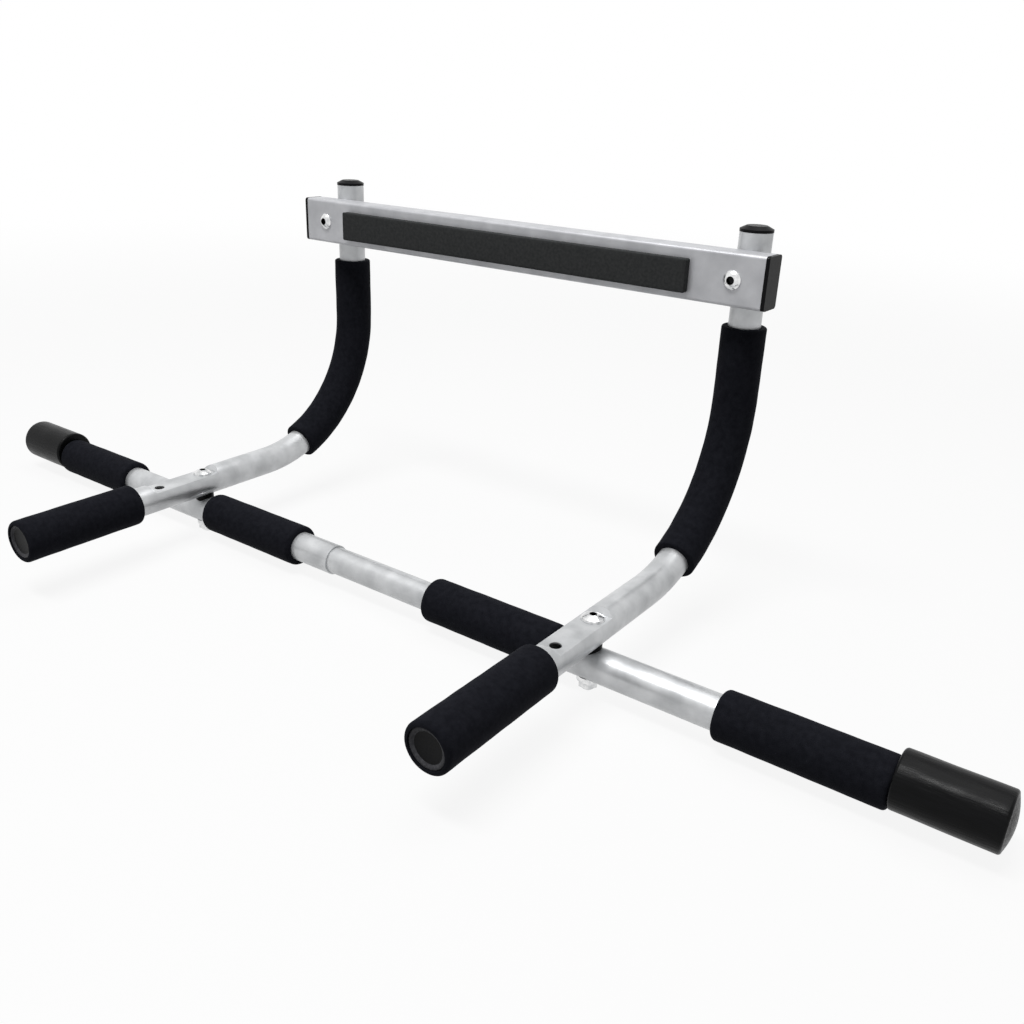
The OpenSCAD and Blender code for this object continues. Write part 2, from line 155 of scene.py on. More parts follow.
def add_bump(material, shader, height, depth, strength=1.0):
    """Adds relief. depth is the real height of the pattern, in metres."""
    nodes, links = material.node_tree.nodes, material.node_tree.links
    bump = nodes.new("ShaderNodeBump")
    bump.inputs["Strength"].default_value = strength
    bump.inputs["Distance"].default_value = depth
    links.new(height, bump.inputs["Height"])
    earlier = shader.inputs["Normal"].links
    if earlier:
        links.new(earlier[0].from_socket, bump.inputs["Normal"])
    links.new(bump.outputs["Normal"], shader.inputs["Normal"])


# %% [markdown]
# The tubes are steel with a satin silver coat. A coat like that holds fine metal flakes in
# clear paint, so it is set about halfway between metal and plain paint: it mirrors its
# surroundings softly, and carries a broad bright band where it faces the lamp. A slow change
# of tone, as the spray leaves it, and a faint orange peel in the relief stop it from looking
# like plastic. The rail's coat is a little darker and bluer, with less metal in it.

# %% Silver coat of the tubes and the rail
def silver_coat(name, dark, light, roughness, metallic):
    """Silver paint on steel, between two tones of grey."""
    material, shader = new_finish(name, metallic=metallic)
    clouds = noise_pattern(material, 55.0, detail=5.0)
    vary(material, shader, "Base Color", clouds, dark, light)
    flakes = noise_pattern(material, 260.0, detail=2.0)
    vary(material, shader, "Roughness", flakes, roughness - 0.04, roughness + 0.05)
    orange_peel = noise_pattern(material, 320.0, detail=1.0)
    add_bump(material, shader, orange_peel, 0.000012)
    return material


silver_tube = silver_coat(
    "silver_tube", dark=(0.45, 0.46, 0.47), light=(0.66, 0.67, 0.68),
    roughness=0.36, metallic=0.58,
)
silver_rail = silver_coat(
    "silver_rail", dark=(0.43, 0.435, 0.455), light=(0.55, 0.555, 0.575),
    roughness=0.46, metallic=0.42,
)
print("made", silver_tube.name, "and", silver_rail.name)

# %% [markdown]
# The bolts, the washers and the nuts are zinc plated. Bright zinc is much more mirror-like
# than the coat on the tubes, with tiny scratches from the spanner and darker patches where
# the plating has dulled, so it is full metal with a low, uneven roughness. The hex sockets
# get painted shade: they are darkened to stand for the shade in these recesses. Nothing in
# the mesh marks them, so the finish works out how far a point lies from each bolt's axis, and how
# deep.

# %% Helpers for marks round an axis
def middle_of(node):
    """The middle of the box round a CAD node."""
    low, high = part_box(node)
    return (low + high) / 2


arm_line_x = middle_of("right_arm_tube").x  # bolts and handles lie at this x and at -x
socket_radius = 0.0031


def math_step(owner, operation, first, second=0.0):
    """One step of arithmetic on two numbers or sockets, in a material or a world."""
    step = owner.node_tree.nodes.new("ShaderNodeMath")
    step.operation = operation
    for socket, value in zip(step.inputs, (first, second)):
        if isinstance(value, float):
            socket.default_value = value
        else:
            owner.node_tree.links.new(value, socket)
    return step.outputs[0]


def from_axis(material, across, centre):
    """The distance from two lines, at x = arm_line_x and -arm_line_x, and the coordinates."""
    where = material.node_tree.nodes.new("ShaderNodeTexCoord")
    axes = material.node_tree.nodes.new("ShaderNodeSeparateXYZ")
    material.node_tree.links.new(where.outputs["Object"], axes.inputs[0])
    off_middle = math_step(material, "ABSOLUTE", axes.outputs["X"])
    aside = math_step(material, "SUBTRACT", off_middle, arm_line_x)
    over = math_step(material, "SUBTRACT", axes.outputs[across], centre)
    squares = [math_step(material, "MULTIPLY", value, value) for value in (aside, over)]
    return math_step(material, "SQRT", math_step(material, "ADD", *squares)), axes.outputs


def outside_sockets(material, across, centre, along, low, high):
    """0 in the sockets of a pair of bolts, from low to high along them, and 1 elsewhere."""
    reach, axes = from_axis(material, across, centre)
    beside = math_step(material, "GREATER_THAN", reach, socket_radius)
    below = math_step(material, "LESS_THAN", axes[along], low)
    above = math_step(material, "GREATER_THAN", axes[along], high)
    beyond = math_step(material, "MAXIMUM", below, above)
    return math_step(material, "MAXIMUM", beside, beyond)


def scale_colour(material, shader, colour, factor):
    """Gives the shader a colour times a factor as its base colour."""
    scaled = material.node_tree.nodes.new("ShaderNodeVectorMath")
    scaled.operation = "SCALE"
    material.node_tree.links.new(colour, scaled.inputs[0])
    material.node_tree.links.new(factor, scaled.inputs["Scale"])
    material.node_tree.links.new(scaled.outputs[0], shader.inputs["Base Color"])


# %% Zinc plate of the fasteners
rail_bolt_z = middle_of("rail_bolts").z
rail_face_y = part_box("rail_bolts")[0].y
rail_socket_shade_depth = 0.0032  # from the face of the head to just past the socket's floor
face_margin = 0.0006
rail_socket_shade_span = (rail_face_y - face_margin, rail_face_y + rail_socket_shade_depth)
crossing_bolt_y = middle_of("crossing_bolts").y
crossing_face_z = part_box("crossing_bolts")[1].z
crossing_socket_shade_depth = 0.0027
unshaded_lip = 0.0007  # the painted shade in the crossing bolts' sockets starts this far down
crossing_socket_shade_span = (crossing_face_z - crossing_socket_shade_depth, crossing_face_z - unshaded_lip)
socket_shade_share = 0.02  # how bright the painted shade leaves the sockets, as a share of unshaded zinc

zinc_steel, zinc_shader = new_finish("zinc_steel", metallic=1.0)
zinc_patches = noise_pattern(zinc_steel, 220.0, detail=2.0)
zinc_tone = spread(zinc_steel, zinc_patches, (0.52, 0.53, 0.54), (0.82, 0.82, 0.82), 0.3, 0.62)
# Painted shade: the sockets of both pairs of bolts are darkened to stand for the shade in them.
off_rail_socket_shade = outside_sockets(zinc_steel, "Z", rail_bolt_z, "Y", *rail_socket_shade_span)
off_crossing_socket_shade = outside_sockets(zinc_steel, "Y", crossing_bolt_y, "Z", *crossing_socket_shade_span)
unshaded = math_step(zinc_steel, "MINIMUM", off_rail_socket_shade, off_crossing_socket_shade)
scale_colour(zinc_steel, zinc_shader, zinc_tone, spread(zinc_steel, unshaded, socket_shade_share, 1.0, 0.0, 1.0))
zinc_scratches = noise_pattern(zinc_steel, 1500.0, detail=2.0)
vary(zinc_steel, zinc_shader, "Roughness", zinc_scratches, 0.12, 0.26)
add_bump(zinc_steel, zinc_shader, zinc_scratches, 0.000006)
print("made", zinc_steel.name)

# %% [markdown]
# The grips are closed cell foam rubber. Its skin is matt because millions of tiny cells
# scatter the light, so it needs a very dark colour, almost no mirror reflection and a fine
# relief. Two grains are laid over each other: one of about a millimetre for the cells, and
# one of a few millimetres for the soft mottling that moulded foam has.

# %% Foam of the grips
grip_foam, foam_shader = new_finish("grip_foam", specular=0.05, roughness=0.85)
foam_mottle = noise_pattern(grip_foam, 240.0, detail=4.0)
foam_dark = (0.0058, 0.0062, 0.0088)
foam_light = (0.0112, 0.0118, 0.0158)
vary(grip_foam, foam_shader, "Base Color", foam_mottle, foam_dark, foam_light)
add_bump(grip_foam, foam_shader, foam_mottle, 0.00018, strength=0.6)
foam_cells = noise_pattern(grip_foam, 1300.0, detail=2.0)
add_bump(grip_foam, foam_shader, foam_cells, 0.00016, strength=0.8)
print("made", grip_foam.name)

# %% [markdown]
# The end sleeves are solid rubber. They are smoother than the foam and show a streaky sheen
# along their length, where the mould was drawn off. Stretching a noise pattern along X
# gives those streaks: it is packed across the sleeve and left long along it.

# %% Rubber of the end sleeves
end_rubber, sleeve_shader = new_finish("end_rubber", specular=0.1)
streaks = noise_pattern(end_rubber, 70.0, detail=5.0, stretch=(1.0, 8.0, 8.0))
sleeve_dark = (0.0014, 0.0015, 0.0018)
sleeve_light = (0.0032, 0.0033, 0.0038)
vary(end_rubber, sleeve_shader, "Base Color", streaks, sleeve_dark, sleeve_light)
vary(end_rubber, sleeve_shader, "Roughness", streaks, 0.24, 0.42)
add_bump(end_rubber, sleeve_shader, streaks, 0.0002)
print("made", end_rubber.name)

# %% [markdown]
# The pad on the rail is dense sponge rubber, a little greyer than the grips, and the caps
# and plugs are moulded plastic with a faint satin texture. The rims of the plugs in the
# handles are painted a lighter grey as a painted highlight, for the light that the rims
# catch. The plugs are the only plastic so far in front, so a ring about the handles' axes finds
# their rims.

# %% Sponge rubber of the pad
pad_rubber, pad_shader = new_finish("pad_rubber", specular=0.08, roughness=0.85)
pad_grain = noise_pattern(pad_rubber, 420.0, detail=4.0)
pad_dark = (0.031, 0.0325, 0.033)
pad_light = (0.046, 0.0475, 0.048)
vary(pad_rubber, pad_shader, "Base Color", pad_grain, pad_dark, pad_light)
add_bump(pad_rubber, pad_shader, pad_grain, 0.0002, strength=0.7)
print("made", pad_rubber.name)

# %% Moulded plastic of the caps and plugs
plug_low, plug_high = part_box("right_handle_plug")
plug_radius = plug_high.x - arm_line_x
handle_z = (plug_low.z + plug_high.z) / 2
rim_highlight_width = 0.00335  # how far in from the edge of a plug the painted highlight reaches
rim_highlight_gain = 9.0  # how many times brighter the rims with the painted highlight are

black_plastic, plastic_shader = new_finish("black_plastic", specular=0.05)
plastic_grain = noise_pattern(black_plastic, 700.0, detail=2.0)
plastic_dark = (0.0045, 0.0045, 0.0050)
plastic_light = (0.0090, 0.0090, 0.0098)
plastic_tone = spread(black_plastic, plastic_grain, plastic_dark, plastic_light)
# Painted highlight: a lighter ring on each plug's rim stands for the light that the rim catches.
plastic_reach, plastic_axes = from_axis(black_plastic, "Z", handle_z)
in_front = math_step(black_plastic, "LESS_THAN", plastic_axes["Y"], plug_high.y)
on_rim = math_step(black_plastic, "GREATER_THAN", plastic_reach, plug_radius - rim_highlight_width)
rim_highlight_mask = math_step(black_plastic, "MULTIPLY", in_front, on_rim)
rim_highlight_factor = spread(black_plastic, rim_highlight_mask, 1.0, rim_highlight_gain, 0.0, 1.0)
scale_colour(black_plastic, plastic_shader, plastic_tone, rim_highlight_factor)
vary(black_plastic, plastic_shader, "Roughness", plastic_grain, 0.28, 0.40)
add_bump(black_plastic, plastic_shader, plastic_grain, 0.00003)
print("made", black_plastic.name)

# %% [markdown]
# The metal pieces, the saddles and the caps keep their CAD shapes and only take a finish. The
# record names a slot for each node, so one table from slot to finish dresses them all. The
# foam, the sleeves, the pad and the handle plugs are dressed as well, and new pieces take
# their places further down.

# %% Dress the CAD pieces
finishes = {
    "silver_tube": silver_tube,
    "silver_rail": silver_rail,
    "zinc_steel": zinc_steel,
    "grip_foam": grip_foam,
    "end_rubber": end_rubber,
    "pad_rubber": pad_rubber,
    "black_plastic": black_plastic,
}
for entry in frame["record"]["subparts"]:
    mesh = frame["nodes"][entry["node"]].data
    mesh.materials.clear()
    mesh.materials.append(finishes[entry["material_slot"]])
    print(entry["node"], "->", entry["material_slot"])

# %% [markdown]
# New pieces are built as bmeshes, and three helpers are shared. The first turns a bmesh into
# an object at the origin, gives it its finish and ties it to the frame. The second rounds
# edges off. The third makes a surface slightly uneven, because soft foam is never a perfect
# cylinder.

# %% Helpers for new pieces
crease = math.radians(40)  # edges that fold more than this stay sharp
weld_distance = 1e-6
on_skin = 0.99  # vertices past this share of a tube's radius are on its outside


def finish_piece(name, bm, slot_name, replaced):
    """Makes an object of bm that stands for the replaced CAD nodes."""
    bmesh.ops.remove_doubles(bm, verts=bm.verts, dist=weld_distance)
    bmesh.ops.recalc_face_normals(bm, faces=bm.faces)
    for edge in bm.edges:
        edge.smooth = len(edge.link_faces) == 2 and edge.calc_face_angle(0.0) < crease
    for face in bm.faces:
        face.smooth = True
    mesh = bpy.data.meshes.new(name)
    bm.to_mesh(mesh)
    bm.free()
    piece = bpy.data.objects.new(name, mesh)
    bpy.context.scene.collection.objects.link(piece)
    mesh.materials.append(finishes[slot_name])
    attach(piece, "root")
    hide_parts(*replaced)
    print(name, "faces:", len(mesh.polygons))


def round_edges(bm, edges, radius, segments):
    """Bevels the edges to a round of the given radius."""
    bmesh.ops.bevel(
        bm, geom=edges, offset=radius, offset_type="OFFSET", segments=segments, profile=0.5,
        affect="EDGES", material=-1, clamp_overlap=True,
    )


def make_uneven(verts, swell, lump_size):
    """Moves each vertex along its normal by a smooth noise of up to swell metres."""
    for vert in verts:
        vert.co += vert.normal * swell * noise.noise(vert.co / lump_size)


# %% [markdown]
# A straight grip is a foam tube that is pushed over the steel one. It could be a cylinder
# with a hole, but its ends are rounded by the cutting and grinding, and its skin is a little
# wavy. So a rectangle, which is the wall of the tube cut through, is spun round the X axis,
# the long faces are cut into short ones, the outer corners are bevelled, and the skin is
# then moved in and out by up to a fifth of a millimetre.

# %% Helper for straight grips
tube_low, tube_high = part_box("right_side_tube")
tube_radius = (tube_high.z - tube_low.z) / 2
grip_gap = 0.00015
grip_bore = tube_radius + grip_gap
grip_round = 0.0035
ring_spacing = 0.003
spin_steps = 96
foam_swell = 0.0002
foam_lump = 0.012


def foam_tube(length, outer, bore):
    """A foam tube from x = 0 to x = length round the X axis."""
    bm = bmesh.new()
    corners = [(0, bore), (0, outer), (length, outer), (length, bore)]
    wall = [bm.verts.new((along, 0.0, radius)) for along, radius in corners]
    edges = [bm.edges.new((wall[i], wall[(i + 1) % 4])) for i in range(4)]
    bmesh.ops.spin(
        bm, geom=wall + edges, cent=(0, 0, 0), axis=(1, 0, 0), angle=math.tau,
        steps=spin_steps, use_merge=True,
    )
    bmesh.ops.recalc_face_normals(bm, faces=bm.faces)
    long_edges = [e for e in bm.edges if abs(e.verts[0].co.x - e.verts[1].co.x) > length / 2]
    bmesh.ops.subdivide_edges(bm, edges=long_edges, cuts=int(length / ring_spacing))
    rims = []
    for edge in bm.edges:
        outside = all(math.hypot(v.co.y, v.co.z) > outer * on_skin for v in edge.verts)
        at_start = all(v.co.x < weld_distance for v in edge.verts)
        at_end = all(v.co.x > length - weld_distance for v in edge.verts)
        if outside and (at_start or at_end):
            rims.append(edge)
    round_edges(bm, rims, grip_round, segments=7)
    bm.normal_update()
    half_wall = (outer + bore) / 2
    skin = [v for v in bm.verts if math.hypot(v.co.y, v.co.z) > half_wall]
    make_uneven(skin, foam_swell, foam_lump)
    return bm


# %% Crossbar grips
for side in ("left", "right"):
    for where in ("inner", "outer"):
        low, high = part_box(f"{side}_{where}_grip")
        grip = foam_tube(high.x - low.x, (high.z - low.z) / 2, grip_bore)
        middle = (low + high) / 2
        bmesh.ops.translate(grip, verts=grip.verts, vec=(low.x, middle.y, middle.z))
        grip_node = f"{side}_{where}_grip"
        finish_piece(f"{side}_{where}_foam", grip, "grip_foam", [grip_node])

# %% Handle grips
plug_gap = 0.0001
handle_grip_bore = plug_radius + plug_gap  # wide enough for the plug's flange
along_y = Matrix.Rotation(math.pi / 2, 3, "Z")

for side in ("left", "right"):
    low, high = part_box(f"{side}_handle_grip")
    grip = foam_tube(high.y - low.y, (high.z - low.z) / 2, handle_grip_bore)
    middle = (low + high) / 2
    bmesh.ops.rotate(grip, verts=grip.verts, cent=(0, 0, 0), matrix=along_y)
    bmesh.ops.translate(grip, verts=grip.verts, vec=(middle.x, low.y, middle.z))
    finish_piece(f"{side}_handle_foam", grip, "grip_foam", [f"{side}_handle_grip"])

# %% [markdown]
# The grip on each arm follows the bend of the tube. It starts as a flat ring round the
# upright, which is extruded down to where the bend starts and then spun about the centre of
# the bend. The upright part is one extrusion in short steps and the bend is one spin, so the
# ring stays round all the way. These grips are cut square, so their outer rims only get a
# small bevel. The bend's radius and centre are the ones that the tube has.

# %% Shape of the arm's bend
bend_radius = 0.125
bend_z = handle_z + bend_radius
arm_foam_turn = math.radians(69)  # how far round the bend the foam reaches
arm_grip_round = 0.0015
upright_steps = 18
bend_steps = 48


def off_the_arm_line(point, arm_x, arm_y):
    """How far a point lies from the middle line of an arm tube."""
    aside = point.x - arm_x
    if point.z > bend_z:
        return math.hypot(aside, point.y - arm_y)
    reach = math.hypot(point.y - arm_y + bend_radius, point.z - bend_z)
    return math.hypot(aside, reach - bend_radius)


# %% Helper for arm grips
def arm_foam(arm_x, arm_y, top_z, outer):
    """A foam tube down the upright and round the bend."""
    bm = bmesh.new()
    bmesh.ops.create_circle(bm, cap_ends=False, radius=outer, segments=spin_steps)
    bmesh.ops.create_circle(bm, cap_ends=False, radius=grip_bore, segments=spin_steps)
    bmesh.ops.bridge_loops(bm, edges=bm.edges)
    bmesh.ops.translate(bm, verts=bm.verts, vec=(arm_x, arm_y, top_z))
    step = (bend_z - top_z) / upright_steps
    end_faces = list(bm.faces)
    for number in range(upright_steps):
        grown = bmesh.ops.extrude_face_region(bm, geom=end_faces, use_keep_orig=number == 0)
        moved = [g for g in grown["geom"] if isinstance(g, bmesh.types.BMVert)]
        bmesh.ops.translate(bm, verts=moved, vec=(0, 0, step))
        end_faces = [g for g in grown["geom"] if isinstance(g, bmesh.types.BMFace)]
    spun = bmesh.ops.spin(
        bm, geom=end_faces, cent=(arm_x, arm_y - bend_radius, bend_z), axis=(1, 0, 0),
        angle=-arm_foam_turn, steps=bend_steps,
    )
    last_verts = {g for g in spun["geom_last"] if isinstance(g, bmesh.types.BMVert)}
    bmesh.ops.recalc_face_normals(bm, faces=bm.faces)
    rims = []
    for edge in bm.edges:
        outside = all(off_the_arm_line(v.co, arm_x, arm_y) > outer * on_skin for v in edge.verts)
        at_top = all(v.co.z > top_z - weld_distance for v in edge.verts)
        if outside and (at_top or last_verts.issuperset(edge.verts)):
            rims.append(edge)
    round_edges(bm, rims, arm_grip_round, segments=4)
    bm.normal_update()
    half_wall = (outer + grip_bore) / 2
    skin = [v for v in bm.verts if off_the_arm_line(v.co, arm_x, arm_y) > half_wall]
    make_uneven(skin, foam_swell, foam_lump)
    return bm


# %% Arm grips
for side in ("left", "right"):
    low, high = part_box(f"{side}_arm_grip")
    outer = (high.x - low.x) / 2
    grip = arm_foam((high.x + low.x) / 2, high.y - outer, high.z, outer)
    finish_piece(f"{side}_arm_foam", grip, "grip_foam", [f"{side}_arm_grip"])

# %% [markdown]
# The end sleeves are moulded rubber boots that take the weight in the door frame. Their
# outside sits higher than the tube in them, so the wall is thin below and thick above, and
# no single spin can make both. The mouth is two circles with different centres, bridged.
# The outer one is extruded along the sleeve, narrowed over the rounded end and closed in a
# low dome, and the inner one is pushed in as the bore and closed at its bottom.

# %% Helpers for end sleeves
sleeve_gap = 0.0001
sleeve_bore = tube_radius + sleeve_gap
sleeve_round = 0.002
sleeve_dome = 0.003
sleeve_end = 0.004
sleeve_swell = 0.00018
sleeve_lump = 0.02
wall_steps = 24
round_steps = 6
dome_steps = 8
along_x = Matrix.Rotation(math.pi / 2, 3, "Y")


def dome_height(share):
    """How far the closed end bulges, share of the way from its edge to its middle."""
    return sleeve_dome * share * (2 - share)


def grow_loop(bm, loop_edges, along, centre, factor=1.0):
    """Extrudes a loop of edges by along in X, scales it about centre, returns the new loop."""
    grown = bmesh.ops.extrude_edge_only(bm, edges=loop_edges)["geom"]
    verts = [g for g in grown if isinstance(g, bmesh.types.BMVert)]
    new_edges = [g for g in grown if isinstance(g, bmesh.types.BMEdge)]
    new_verts = set(verts)
    loop = [e for e in new_edges if new_verts.issuperset(e.verts)]
    bmesh.ops.translate(bm, verts=verts, vec=(along, 0, 0))
    bmesh.ops.scale(
        bm, verts=verts, vec=(1, factor, factor), space=Matrix.Translation(-centre)
    )
    return loop


def rubber_boot(start, end, centre, radius, bore_centre):
    """A closed sleeve from x = start to x = end, with an open mouth at its start."""
    bm = bmesh.new()
    loops = []
    for middle, size in ((centre, radius), (bore_centre, sleeve_bore)):
        made = bmesh.ops.create_circle(bm, cap_ends=False, radius=size, segments=spin_steps)
        bmesh.ops.rotate(bm, verts=made["verts"], cent=(0, 0, 0), matrix=along_x)
        bmesh.ops.translate(bm, verts=made["verts"], vec=(start, middle.y, middle.z))
        loops.append(list({e for v in made["verts"] for e in v.link_edges}))
    bmesh.ops.bridge_loops(bm, edges=loops[0] + loops[1])
    outer, inner = loops
    mouth = outer
    way = 1.0 if end > start else -1.0
    rim_x = end - way * sleeve_dome
    for number in range(wall_steps):
        outer = grow_loop(bm, outer, (rim_x - way * sleeve_round - start) / wall_steps, centre)
    size = radius
    for number in range(1, round_steps + 1):
        angle = math.pi / 2 * number / round_steps
        last_angle = angle - math.pi / 2 / round_steps
        wanted = radius - sleeve_round + sleeve_round * math.cos(angle)
        rise = sleeve_round * (math.sin(angle) - math.sin(last_angle))
        outer = grow_loop(bm, outer, way * rise, centre, wanted / size)
        size = wanted
    dome_base = size
    for number in range(1, dome_steps):
        share = number / dome_steps
        wanted = dome_base * (1 - share)
        rise = dome_height(share) - dome_height((number - 1) / dome_steps)
        outer = grow_loop(bm, outer, way * rise, centre, wanted / size)
        size = wanted
    bmesh.ops.edgeloop_fill(bm, edges=outer)
    inner = grow_loop(bm, inner, way * (abs(rim_x - start) - sleeve_end), bore_centre)
    bmesh.ops.edgeloop_fill(bm, edges=inner)
    bmesh.ops.recalc_face_normals(bm, faces=bm.faces)
    round_edges(bm, mouth, sleeve_round, segments=5)
    bm.normal_update()
    skin = [
        v for v in bm.verts
        if math.hypot(v.co.y - centre.y, v.co.z - centre.z) > radius - sleeve_round
    ]
    make_uneven(skin, sleeve_swell, sleeve_lump)
    return bm


# %% End sleeves
for side in ("left", "right"):
    low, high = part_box(f"{side}_end_sleeve")
    tube_low, tube_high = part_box(f"{side}_side_tube")
    start, end = (high.x, low.x) if side == "left" else (low.x, high.x)
    centre = Vector((0, (low.y + high.y) / 2, (low.z + high.z) / 2))
    bore_centre = Vector((0, centre.y, (tube_low.z + tube_high.z) / 2))
    boot = rubber_boot(start, end, centre, (high.y - low.y) / 2, bore_centre)
    finish_piece(f"{side}_boot", boot, "end_rubber", [f"{side}_end_sleeve"])

# %% [markdown]
# The pad on the rail is a strip cut from sponge rubber sheet and glued on. It starts as a
# cube that is stretched to the strip's size. Its corners and front edges are bevelled, and it
# is cut into short faces. Then its front is eased back towards the edges and its long sides
# are drawn in by a fraction of a millimetre, as soft sheet is between its corners. The back
# stays flat on the rail.

# %% Wall pad
pad_corner = 0.0015
pad_edge = 0.0009
pad_give = 0.0003
pad_wave = 0.00008
pad_lump = 0.03
pad_front_depth = 0.001
pad_columns = 90
pad_rows = 9


def cut_up(bm, direction, start, length, count):
    """Cuts the faces into count even strips along a direction."""
    for number in range(1, count):
        bmesh.ops.bisect_plane(
            bm, geom=bm.verts[:] + bm.edges[:] + bm.faces[:],
            plane_co=direction * (start + length * number / count), plane_no=direction,
        )


low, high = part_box("wall_pad")
middle = (low + high) / 2
size = high - low
pad = bmesh.new()
bmesh.ops.create_cube(pad, size=1.0)
bmesh.ops.scale(pad, verts=pad.verts, vec=size)
bmesh.ops.translate(pad, verts=pad.verts, vec=middle)
corners = [e for e in pad.edges if abs(e.verts[0].co.y - e.verts[1].co.y) > size.y / 2]
round_edges(pad, corners, pad_corner, segments=4)
front_rim = [e for e in pad.edges if all(v.co.y < low.y + weld_distance for v in e.verts)]
round_edges(pad, front_rim, pad_edge, segments=3)
cut_up(pad, Vector((1, 0, 0)), low.x, size.x, pad_columns)
cut_up(pad, Vector((0, 0, 1)), low.z, size.z, pad_rows)
for vert in pad.verts:
    along = 1 - ((vert.co.x - middle.x) / (size.x / 2)) ** 2
    across = 1 - ((vert.co.z - middle.z) / (size.z / 2)) ** 2
    if vert.co.y < low.y + pad_front_depth:
        wave = noise.noise(Vector((vert.co.x, 0, vert.co.z)) / pad_lump)
        vert.co.y += pad_give - pad_give * along * across + pad_wave * wave
    vert.co.z += (middle.z - vert.co.z) / (size.z / 2) * pad_give * along
finish_piece("wall_pad_strip", pad, "pad_rubber", ["wall_pad"])

# %% [markdown]
# The plug in the end of each handle is a moulded cup: a thin rim, a short sloping wall and a
# flat floor. Its outline, from the middle of the floor round the flange to the end of the
# spigot, is spun about the handle's axis. The rim and the foot of the wall are then bevelled,
# because it is their round edges that catch the light.

# %% Handle plugs
spigot = 0.0112
rim_width = 0.0018
floor_inset = 0.0032
cup_depth = 0.0015
flange_depth = 0.003
plug_length = 0.015
plug_steps = 72
same_place = 1e-5


def cup_plug(face_y, centre_x, centre_z, flange):
    """A plug that faces -Y, with the front of its rim at face_y."""
    rim = flange - rim_width
    floor_edge = flange - floor_inset
    outline = [
        (0.0, cup_depth), (floor_edge, cup_depth), (rim, 0.0), (flange, 0.0),
        (flange, flange_depth), (spigot, flange_depth), (spigot, plug_length), (0.0, plug_length),
    ]
    bm = bmesh.new()
    verts = [bm.verts.new((radius, depth, 0)) for radius, depth in outline]
    edges = [bm.edges.new(verts[i:i + 2]) for i in range(len(verts) - 1)]
    bmesh.ops.spin(
        bm, geom=verts + edges, cent=(0, 0, 0), axis=(0, 1, 0), angle=math.tau,
        steps=plug_steps, use_merge=True,
    )
    bmesh.ops.remove_doubles(bm, verts=bm.verts, dist=weld_distance)
    bmesh.ops.recalc_face_normals(bm, faces=bm.faces)
    for radius, depth, rounding in (
        (floor_edge, cup_depth, 0.0008), (rim, 0.0, 0.0005), (flange, 0.0, 0.0008)
    ):
        ring = [
            e for e in bm.edges
            if all(abs(math.hypot(v.co.x, v.co.z) - radius) < same_place for v in e.verts)
            and all(abs(v.co.y - depth) < same_place for v in e.verts)
        ]
        round_edges(bm, ring, rounding, segments=4)
    bmesh.ops.translate(bm, verts=bm.verts, vec=(centre_x, face_y, centre_z))
    return bm


for side in ("left", "right"):
    low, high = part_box(f"{side}_handle_plug")
    middle = (low + high) / 2
    plug = cup_plug(low.y, middle.x, middle.z, (high.x - low.x) / 2)
    finish_piece(f"{side}_handle_cup", plug, "black_plastic", [f"{side}_handle_plug"])

# %% [markdown]
# The floor is a plain pale sheet just under the lowest piece. Rays that the camera or a
# shiny surface sends out see it and the sky as plain white, and all other light treats it
# as grey paper. A small share of the paper stays in what the camera sees, so that the bar
# keeps its soft shadow. Away from the bar that share fades out, which hides the horizon.
# The floor and the world both end in a mix of two looks, so two helpers serve them both.

# %% Helpers for the surroundings
def seen_directly(owner):
    """1 for camera, glossy and transmission rays, otherwise 0."""
    path = owner.node_tree.nodes.new("ShaderNodeLightPath")
    camera_ray, glossy_ray, transmission_ray = (
        path.outputs[f"Is {kind} Ray"] for kind in ("Camera", "Glossy", "Transmission")
    )
    either = math_step(owner, "MAXIMUM", camera_ray, glossy_ray)
    return math_step(owner, "MAXIMUM", either, transmission_ray)


def mix_looks(owner, output_kind, share, plain, white):
    """Ends a node tree in two looks: the white one by its share, the plain one for the rest."""
    nodes, links = owner.node_tree.nodes, owner.node_tree.links
    mixed = nodes.new("ShaderNodeMixShader")
    out = nodes.new(output_kind)
    links.new(share, mixed.inputs["Fac"])
    links.new(plain.outputs[0], mixed.inputs[1])
    links.new(white.outputs[0], mixed.inputs[2])
    links.new(mixed.outputs[0], out.inputs["Surface"])


# %% Floor
floor_gap = 0.001
floor_z = cad_box[0][2] - floor_gap
floor_radius = 12.0
fade_start = 0.8
fade_end = 2.6
paper_grey = 0.4
glow_by_the_bar = 1.12  # above 1, to make up for the share of darker paper
glow_share_by_the_bar = 0.80

floor_bm = bmesh.new()
bmesh.ops.create_circle(floor_bm, cap_ends=True, segments=64, radius=floor_radius)
bmesh.ops.translate(floor_bm, verts=floor_bm.verts, vec=(0, 0, floor_z))
floor_mesh = bpy.data.meshes.new("floor")
floor_bm.to_mesh(floor_mesh)
floor_bm.free()
floor = bpy.data.objects.new("floor", floor_mesh)
bpy.context.scene.collection.objects.link(floor)

floor_paper = bpy.data.materials.new("floor_paper")
floor_paper.use_nodes = True
nodes, links = floor_paper.node_tree.nodes, floor_paper.node_tree.links
nodes.clear()
where = nodes.new("ShaderNodeTexCoord")
distance = nodes.new("ShaderNodeVectorMath")
distance.operation = "LENGTH"
links.new(where.outputs["Object"], distance.inputs[0])


def fade(near, far):
    """A number that goes from near, round the bar, to far, away from it."""
    ramp = nodes.new("ShaderNodeMapRange")
    ramp.interpolation_type = "SMOOTHSTEP"
    ramp.inputs["From Min"].default_value = fade_start
    ramp.inputs["From Max"].default_value = fade_end
    ramp.inputs["To Min"].default_value = near
    ramp.inputs["To Max"].default_value = far
    links.new(distance.outputs["Value"], ramp.inputs["Value"])
    return ramp.outputs["Result"]


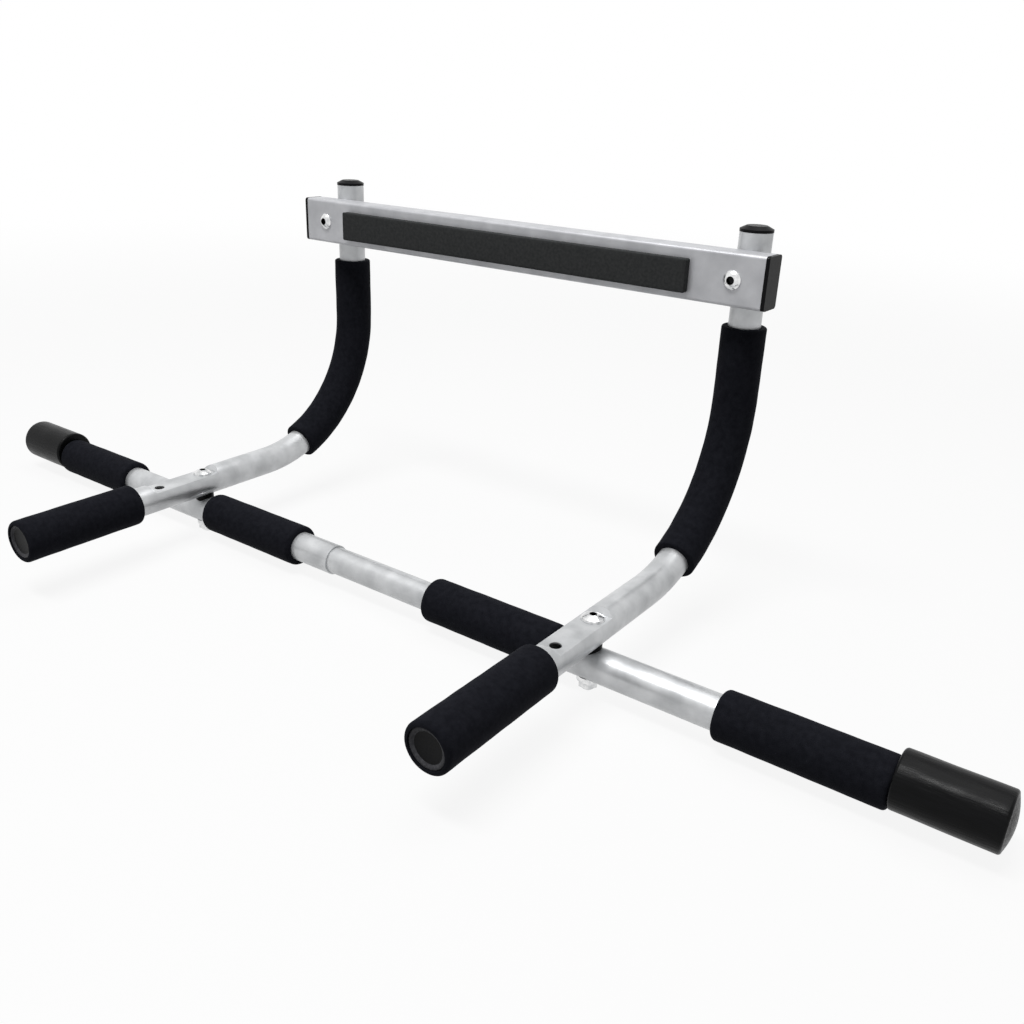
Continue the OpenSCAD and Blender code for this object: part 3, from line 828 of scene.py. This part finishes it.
paper = nodes.new("ShaderNodeBsdfDiffuse")
paper.inputs["Color"].default_value = (paper_grey, paper_grey, paper_grey, 1)
glow = nodes.new("ShaderNodeEmission")
glow.inputs["Color"].default_value = (1, 1, 1, 1)
links.new(fade(glow_by_the_bar, 1.0), glow.inputs["Strength"])
white_share = fade(glow_share_by_the_bar, 1.0)
glow_share = math_step(floor_paper, "MULTIPLY", seen_directly(floor_paper), white_share)
mix_looks(floor_paper, "ShaderNodeOutputMaterial", glow_share, paper, glow)
floor_mesh.materials.append(floor_paper)
print("floor at z =", round(floor_z, 4))

# %% World
sky_light = 0.16
seen_sky = 1.0

world = bpy.data.worlds.new("studio")
bpy.context.scene.world = world
world.use_nodes = True
world.node_tree.nodes.clear()


def even_sky(strength):
    """A white sky of one strength."""
    sky = world.node_tree.nodes.new("ShaderNodeBackground")
    sky.inputs["Color"].default_value = (1, 1, 1, 1)
    sky.inputs["Strength"].default_value = strength
    return sky


mix_looks(
    world, "ShaderNodeOutputWorld", seen_directly(world), even_sky(sky_light), even_sky(seen_sky)
)
print("made the world", world.name)

# %% [markdown]
# Two soft boxes light the bar. The key lamp hangs in front and high up, so that tops are
# bright, fronts are darker and the round pieces show a bright band. It is long and narrow,
# like a strip box: the narrow way gives that band an edge, and the long way lets the band
# run on from the crossbar over the end sleeve. The second lamp hangs overhead, behind the
# bar, and opens up the shadows.

# %% Lamps
def soft_lamp(name, place, aim, width, height, watts):
    """A flat lamp that points from place to aim."""
    data = bpy.data.lights.new(name, "AREA")
    data.shape = "RECTANGLE"
    data.size = width
    data.size_y = height
    data.energy = watts
    lamp = bpy.data.objects.new(name, data)
    bpy.context.scene.collection.objects.link(lamp)
    lamp.location = place
    lamp.rotation_euler = (Vector(aim) - Vector(place)).to_track_quat("-Z", "Y").to_euler()


soft_lamp(
    "key_lamp", place=(-0.1, -0.85, 1.75), aim=(-0.05, -0.15, -0.2),
    width=1.1, height=0.4, watts=30.0,
)
soft_lamp(
    "top_lamp", place=(0.2, 0.3, 1.9), aim=(0, -0.15, -0.15),
    width=1.5, height=1.5, watts=14.0,
)
bpy.context.scene.view_settings.view_transform = "Standard"
